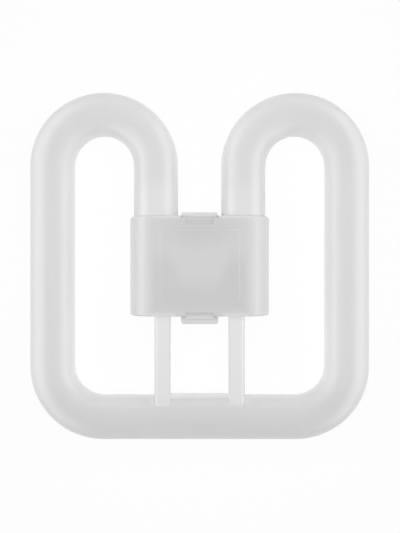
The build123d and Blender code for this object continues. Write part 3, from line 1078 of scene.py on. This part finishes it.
@dataclass(frozen=True)
class LatchFit:
    """The two latch bars, sprung tight against the front cover."""

    middle_y: float = -0.00087
    bar_inner: float = 0.02015
    bar_half: float = 0.0073
    cheek_half: float = 0.0058
    cover_end: float = 0.020
    bars_y: float = 0.019
    bars_z: float = 0.0184
    play: float = 0.0002
    left: float = 0.00003

    def apply(self, piece: bpy.types.Object) -> None:
        """Take up the play round the bars."""
        move_corners(piece, self._tighten)

    def _tighten(self, place: Vector) -> None:
        """Take a corner of a bar to the cover, if it lies on a side that faces it.

        Args:
            place: A corner of the moulded piece.
        """
        take_up = self.play - self.left
        across, along = abs(place.x), abs(place.y)
        if place.z < self.bars_z or across > self.bar_half + self.play or along < self.bars_y:
            return
        end = math.copysign(1.0, place.y)
        if abs(end * (place.y - self.middle_y) - self.bar_inner) < ON_EDGE:
            place.y -= end * take_up
        elif end < 0 and abs(along - self.bar_inner) < ON_EDGE:
            place.y = end * (self.cover_end + self.left)
        for half, way in ((self.bar_half, 1), (self.cheek_half, -1)):
            if abs(across - half) < ON_EDGE:
                place.x = math.copysign(half + way * take_up, place.x)


@dataclass
class MouldedShell:
    """A moulded or turned piece of the cap: its solid with the fine rounding that every real edge has."""

    node: str
    name: str
    slot: str
    edge_round: float
    edge_segments: int = 2
    sharp_angle: float = 32.0
    flat_angle: float = 0.05
    merge_distance: float = 2e-7
    details: tuple[Detail, ...] = ()

    def build(self) -> bpy.types.Object:
        """Model the piece on a merged copy of its solid.

        Returns:
            The finished piece.
        """
        piece = bpy.data.objects.new(self.name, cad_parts[self.node].data.copy())
        piece.data.name = self.name
        bpy.context.collection.objects.link(piece)
        with Workbench(piece) as bench:
            bench.merge(self.merge_distance)
            bpy.ops.mesh.dissolve_limited(angle_limit=math.radians(self.flat_angle))
        for detail in self.details:
            detail.apply(piece)
        edges = piece.modifiers.new("edges", "BEVEL")
        edges.width = self.edge_round
        edges.segments = self.edge_segments
        edges.limit_method = "ANGLE"
        edges.angle_limit = math.radians(self.sharp_angle)
        bpy.ops.object.modifier_apply(modifier=edges.name)
        smooth(piece, self.sharp_angle)
        return piece

    def dress(self, piece: bpy.types.Object, material: bpy.types.Material) -> None:
        """Finish the piece and stand it in for its solid.

        Args:
            piece: The finished piece.
            material: Its finish.
        """
        dress(piece, material)
        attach(piece, ROOT)
        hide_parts(self.node)


@dataclass
class CapParts:
    """The two shells of the cap and the pins in its rear."""

    seat: Seat
    shell_round: float = 0.00012
    pin_round: float = 0.00008

    def shells(self) -> list[MouldedShell]:
        """List the moulded shells.

        Returns:
            The front and the rear one.
        """
        front_details = (self.seat, StrutSides(self.seat.axis_z), PanelEdge())
        rear_details = (LatchFit(),)
        return [
            MouldedShell("front_cover", "cap_front", "cap_plastic", self.shell_round, details=front_details),
            MouldedShell("rear_housing", "cap_rear", "cap_plastic", self.shell_round, details=rear_details),
        ]

    def pins(self) -> list[MouldedShell]:
        """List the contact pins.

        Returns:
            The left and the right one.
        """
        return [
            MouldedShell(f"contact_pin_{side}", f"pin_{side}", "pin_brass", self.pin_round)
            for side in ("left", "right")
        ]

    def build(self) -> list[bpy.types.Object]:
        """Model and dress every piece.

        Returns:
            The finished pieces.
        """
        made = []
        plastic, brass = MouldedPlastic().material(), Brass().material()
        for group, material in ((self.shells(), plastic), (self.pins(), brass)):
            for part in group:
                piece = part.build()
                part.dress(piece, material)
                made.append(piece)
        return made


@dataclass
class CapInternals:
    """The small parts inside the cap, which keep their solids."""

    finishes: tuple[tuple[CoatedSurface, tuple[str, ...]], ...] = (
        (SILICONE, ("tube_seal_left", "tube_seal_right")),
        (TINNED_WIRE, ("pin_lead_left", "pin_lead_right", "starter_lead_left", "starter_lead_right")),
        (STARTER_GLASS, ("starter_bulb",)),
        (CAPACITOR_COAT, ("suppressor_capacitor",)),
    )

    def dress(self) -> list[str]:
        """Finish every inner part.

        Returns:
            The names of the parts.
        """
        dressed = []
        for finish, nodes in self.finishes:
            material = finish.material()
            for node in nodes:
                dress(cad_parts[node], material)
                dressed.append(node)
        return dressed


class Side(Enum):
    """Where a soft box stands, as its direction from the lamp."""

    LEFT = (-1.0, 0.0)
    RIGHT = (1.0, 0.0)
    TOP = (0.0, 1.0)


class Task(Enum):
    """What a soft box is there for."""

    FILL = "fill"
    SHEEN = "sheen"


@dataclass
class SoftBox:
    """A large soft lamp beside or above the object."""

    side: Side
    distance: float
    height: float
    width: float
    tall: float
    radiance: float
    task: Task = Task.SHEEN
    aim: Place = (0.0, 0.0, 0.017)

    def build(self) -> bpy.types.Object:
        """Set up the lamp, facing the object's middle.

        Returns:
            The lamp.
        """
        across, along = self.side.value
        place = Vector((across * self.distance, along * self.distance, self.height))
        bpy.ops.object.light_add(type="AREA", location=place)
        lamp = bpy.context.object
        lamp.name = f"{self.task.value}_{self.side.name.lower()}"
        lamp.rotation_euler = (Vector(self.aim) - place).to_track_quat("-Z", "Y").to_euler()
        lamp.data.shape = "RECTANGLE"
        lamp.data.size = self.width
        lamp.data.size_y = self.tall
        lamp.data.energy = self.radiance * math.pi * self.width * self.tall
        lamp.visible_camera = False
        lamp.visible_diffuse = self.task is Task.FILL
        lamp.visible_glossy = self.task is Task.SHEEN
        return lamp


@dataclass
class Studio:
    """Floor, light and camera."""

    floor_size: float = 6.0
    tent_top: float = 0.48
    tent_sides: float = 0.62
    tent_ends: float = 0.12
    tent_slope: float = 0.04
    camera_place: Place = (0.00014, -0.0002, 0.317)
    lens: float = 49.58
    sensor_height: float = 36.0
    clip_start: float = 0.01

    def boxes(self) -> list[SoftBox]:
        """List the soft boxes.

        Returns:
            One at each side, one beyond the arches and one overhead.
        """
        beside = [
            SoftBox(side, distance=0.14, height=0.066, width=0.45, tall=0.11, radiance=1.9)
            for side in (Side.LEFT, Side.RIGHT)
        ]
        sheen = SoftBox(Side.TOP, distance=0.3, height=0.12, width=0.6, tall=0.22, radiance=0.65)
        fill = SoftBox(
            Side.TOP, distance=0.02, height=0.18, width=0.15, tall=0.15, radiance=0.94, task=Task.FILL
        )
        return [*beside, sheen, fill]

    def build(self) -> None:
        """Set up the floor, the world, the lamps and the camera."""
        bpy.context.scene.view_settings.view_transform = "Standard"
        self._lay_floor()
        self._light_world()
        for box in self.boxes():
            box.build()
        self._place_camera()

    def _lay_floor(self) -> None:
        """Lay the white floor that the lamp lies on."""
        bpy.ops.object.select_all(action="DESELECT")
        bpy.ops.mesh.primitive_plane_add(size=self.floor_size)
        floor = bpy.context.object
        floor.name = "floor"
        dress(floor, StudioWhite().material())

    def _light_world(self) -> None:
        """Surround the scene with soft light, which looks white behind the lamp."""
        world = bpy.data.worlds.new("studio")
        bpy.context.scene.world = world
        shader = Shader(world)
        direction = shader.node("ShaderNodeTexCoord", output="Generated")
        across, along = shader.axes(direction, "XY")
        sides = across * across * self.tent_sides
        ends = along * (along * self.tent_ends - self.tent_slope)
        tent = self.tent_top + sides - ends
        seen = shader.backdrop_rays()
        light = {"Color": opaque(WHITE), "Strength": seen + (1 - seen) * tent}
        shader.surface(shader.node("ShaderNodeBackground", None, light))

    def _place_camera(self) -> None:
        """Hang the camera straight above the lamp."""
        bpy.ops.object.camera_add(location=self.camera_place, rotation=(0.0, 0.0, 0.0))
        camera = bpy.context.object
        camera.data.sensor_fit = "VERTICAL"
        camera.data.sensor_height = self.sensor_height
        camera.data.lens = self.lens
        camera.data.clip_start = self.clip_start
        bpy.context.scene.camera = camera


def main() -> None:
    """Build the lamp and its studio."""
    logging.basicConfig(level=logging.INFO, format="%(name)s: %(message)s")
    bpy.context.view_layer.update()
    tube = DischargeTube.from_solids()
    glass = tube.build()
    tube.dress(glass)
    LOG.info("%s has %d faces", glass.name, len(glass.data.polygons))
    for piece in CapParts(Seat(tube.bottom_y, tube.axis_z, tube.radius)).build():
        LOG.info("%s has %d faces", piece.name, len(piece.data.polygons))
    for name in CapInternals().dress():
        LOG.info("%s keeps its solid", name)
    Studio().build()


if __name__ == "__main__":
    main()
